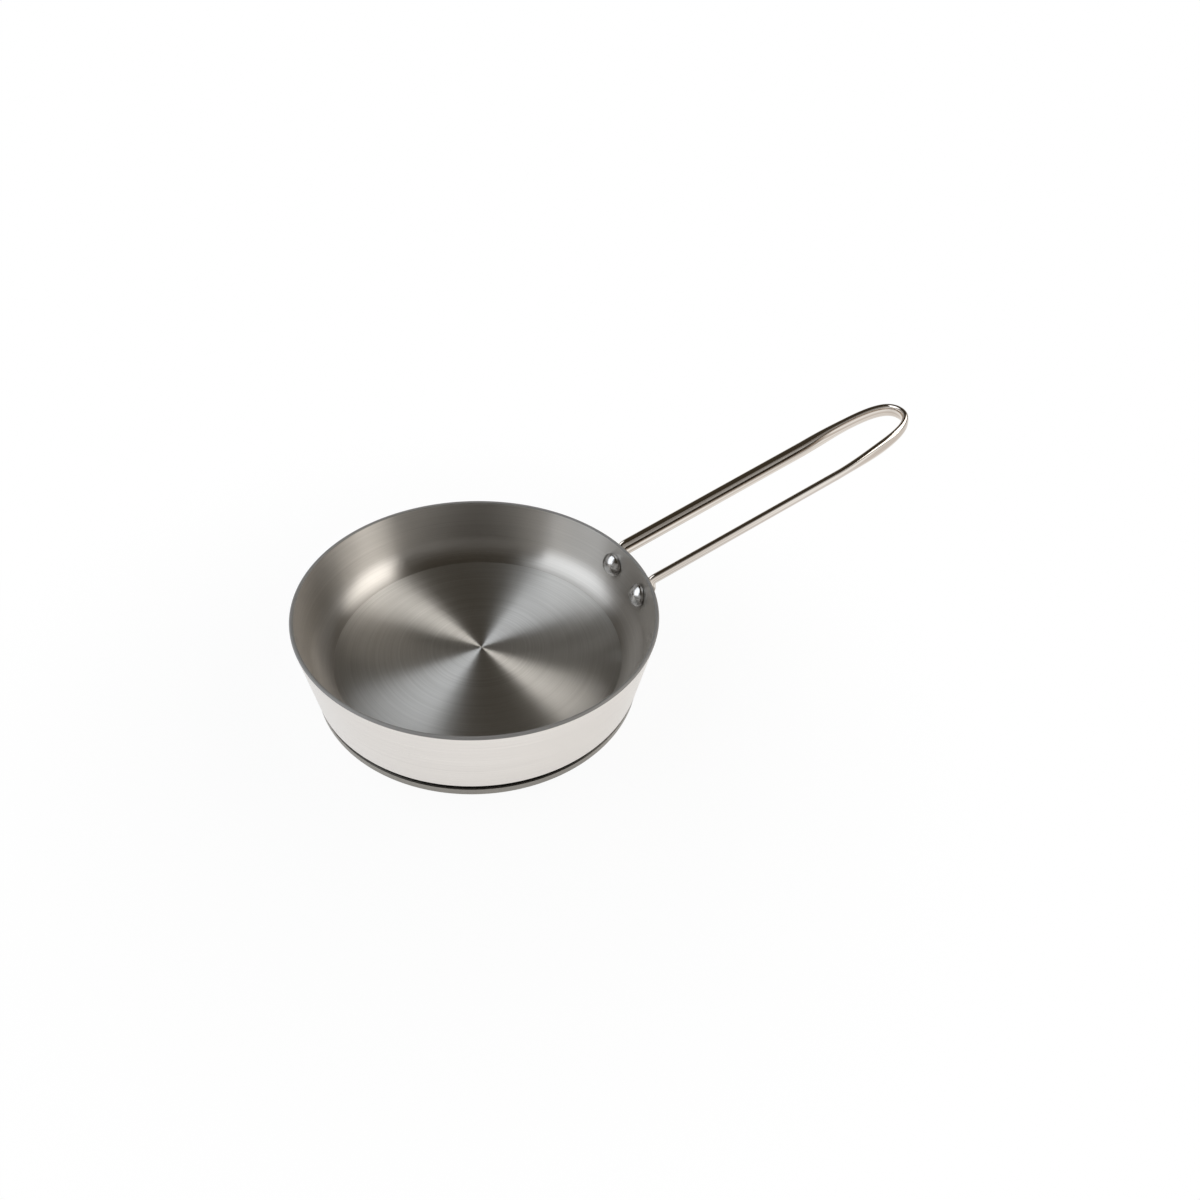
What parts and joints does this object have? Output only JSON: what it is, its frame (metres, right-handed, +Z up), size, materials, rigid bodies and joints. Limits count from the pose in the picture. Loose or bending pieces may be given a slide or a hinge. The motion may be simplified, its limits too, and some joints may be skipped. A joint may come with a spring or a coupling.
{
  "type": "egg pan",
  "caption": "Small round stainless egg pan with a wall that flares to the rim, a thick sandwich base and a riveted bar-loop handle that rises from the wall.",
  "frame": {"origin": "centre of the flat underside of the base cap", "axes": "+Z up along the pan's axis, +X from the pan's centre towards the handle's tip"},
  "size_m": [0.2753, 0.14, 0.0878],
  "materials": {
    "bowl_steel": "stainless, turned lines on floor and wall, satin polish outside",
    "core_aluminium": "plain rolled disc, sealed inside the base",
    "cap_steel": "stainless, turned lines",
    "handle_steel": "stainless, polished bright",
    "rivet_steel": "stainless, polished domes"
  },
  "bodies": {
    "root": {"pan_bowl": "bowl_steel", "core_disc": "core_aluminium", "base_cap": "cap_steel", "handle_loop": "handle_steel", "rivet_left": "rivet_steel", "rivet_right": "rivet_steel"}
  },
  "joints": []
}
